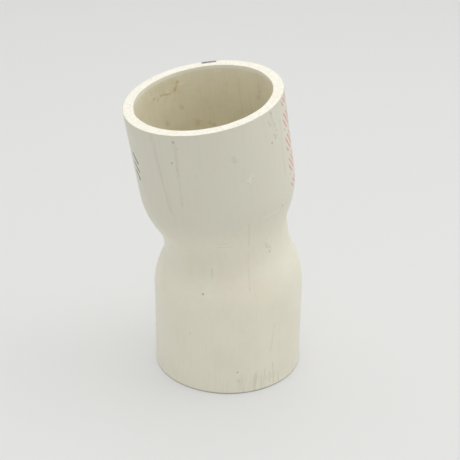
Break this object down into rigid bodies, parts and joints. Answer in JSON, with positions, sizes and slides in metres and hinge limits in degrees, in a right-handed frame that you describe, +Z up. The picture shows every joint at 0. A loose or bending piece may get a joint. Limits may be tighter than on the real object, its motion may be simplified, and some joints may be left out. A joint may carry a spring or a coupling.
{
  "type": "double-socket pipe bend",
  "caption": "Shallow plastic pipe bend with a plain solvent-weld socket formed at each end and a narrower throat between them.",
  "frame": {"origin": "centre of the bounding box's bottom face, in the plane of the lower socket's mouth", "axes": "+Z up along the lower socket's axis; the upper socket leans towards -X, and XZ is the plane of the bend"},
  "size_m": [0.085, 0.0702, 0.1435],
  "materials": {
    "white_upvc": "satin, cream white"
  },
  "bodies": {
    "root": {"lower_socket": "white_upvc", "centre_bend": "white_upvc", "upper_socket": "white_upvc"}
  },
  "joints": []
}
